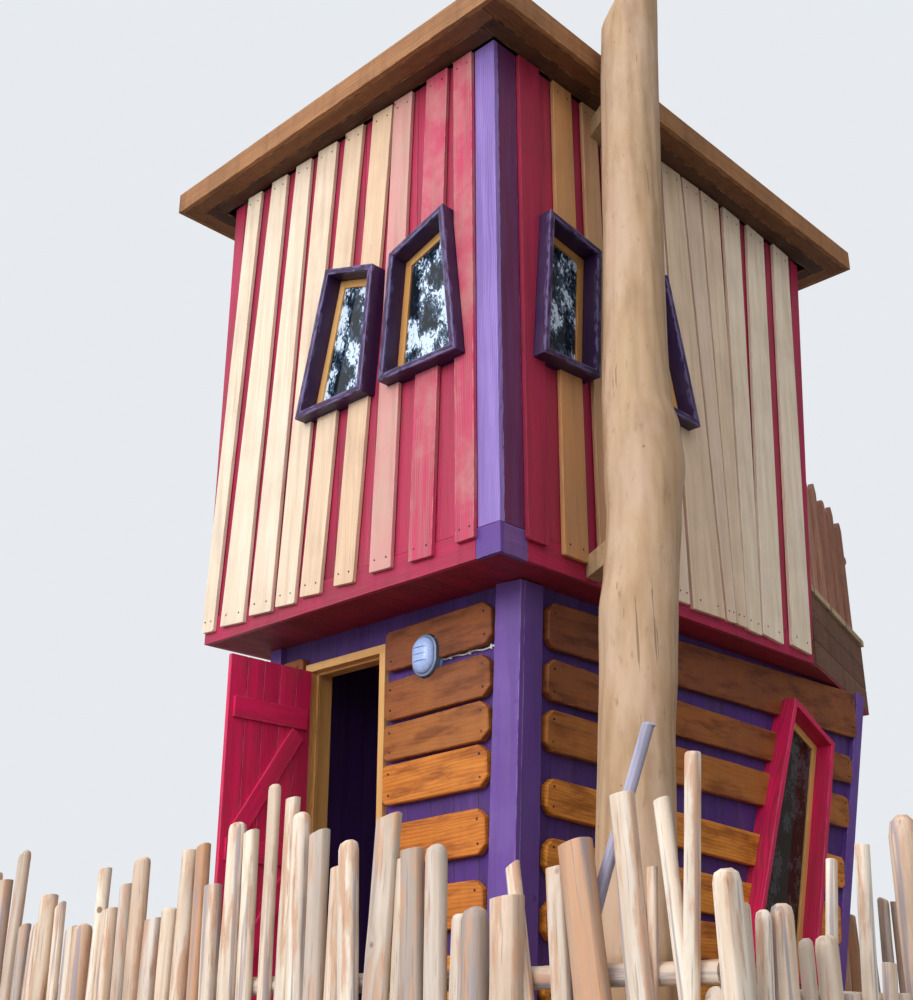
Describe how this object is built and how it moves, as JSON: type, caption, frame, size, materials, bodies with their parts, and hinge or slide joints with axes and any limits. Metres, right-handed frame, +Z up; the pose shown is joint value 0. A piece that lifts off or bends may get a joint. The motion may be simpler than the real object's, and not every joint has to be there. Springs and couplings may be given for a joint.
{
  "type": "tree house",
  "caption": "Crooked two-storey timber tree house: overhanging boxed upper storey on a smaller lower one, on a log-posted deck with a stake palisade.",
  "frame": {"origin": "on the ground, at the centre of the foot of the log post under the near corner of the lower storey", "axes": "+Z up, +X along the front wall with the tall window, away from the near corner, +Y along the side wall with the door"},
  "size_m": [5.539, 4.441, 7.15],
  "materials": {
    "debarked_log": "debarked round log, pale tan with knots and checks",
    "stake_wood": "peeled rough stakes, weathered cream to grey-brown",
    "sawn_timber": "rough sawn structural timber",
    "deck_boards": "weathered walking boards",
    "purple_boards": "violet translucent glaze on sawn boards",
    "red_boards": "red glaze on sawn boards",
    "crimson_boards": "crimson satin paint on planed boards",
    "casing_boards": "deep violet glaze on planed boards",
    "golden_sash": "yellow varnished sash wood",
    "eave_boards": "brown stained roof boards",
    "terrace_wood": "dark brown stained planks",
    "picket_wood": "reddish brown rough pickets",
    "roof_felt": "mineral roofing felt on boards",
    "window_glass": "clear float glass",
    "hinge_iron": "black forged iron",
    "lamp_body": "blue-grey enamelled die casting",
    "lamp_lens": "frosted pressed glass",
    "cable_sheath": "white cable sheath"
  },
  "bodies": {
    "tower": {"deck_posts": "debarked_log", "deck_beams": "sawn_timber", "deck_joists": "sawn_timber", "deck_rim": "sawn_timber", "deck_floor": "deck_boards", "debarked_trunk": "debarked_log", "trunk_ties": "sawn_timber", "palisade_left_near": "stake_wood", "palisade_left_far": "stake_wood", "palisade_front_near": "stake_wood", "palisade_front_far": "stake_wood", "palisade_right": "stake_wood", "lower_front_wall": "purple_boards", "lower_back_wall": "purple_boards", "lower_end_wall": "purple_boards", "lower_side_wall_near": "purple_boards", "lower_side_wall_far": "purple_boards", "lower_side_wall_over_door": "purple_boards", "lower_corner_boards": "purple_boards", "door_frame": "golden_sash", "door_pintles": "hinge_iron", "tall_window_casing": "crimson_boards", "lamp_housing": "lamp_body", "lamp_glass": "lamp_lens", "lamp_cable": "cable_sheath", "upper_soffit": "red_boards", "upper_floor_joists": "sawn_timber", "upper_floor": "deck_boards", "upper_base_trim": "red_boards", "upper_front_wall": "red_boards", "upper_side_wall": "red_boards", "upper_back_wall": "red_boards", "upper_end_wall": "red_boards", "upper_corner_boards": "purple_boards", "upper_window_casings": "casing_boards", "window_sashes": "golden_sash", "window_glass": "window_glass", "roof_rafters": "sawn_timber", "roof_boards": "roof_felt", "roof_fascia": "eave_boards", "roof_eave_boards": "eave_boards", "terrace_frame": "terrace_wood", "terrace_floor": "deck_boards", "terrace_front_railing": "picket_wood", "terrace_end_railing": "picket_wood"},
    "door": {"door_leaf": "crimson_boards", "door_straps": "hinge_iron"}
  },
  "joints": [
    {"name": "door_swing", "type": "hinge", "parent": "tower", "child": "door", "pos_m": [-0.109, 1.465, 2.4], "axis": [0, 0, 1], "range_deg": [-15, 90]}
  ]
}
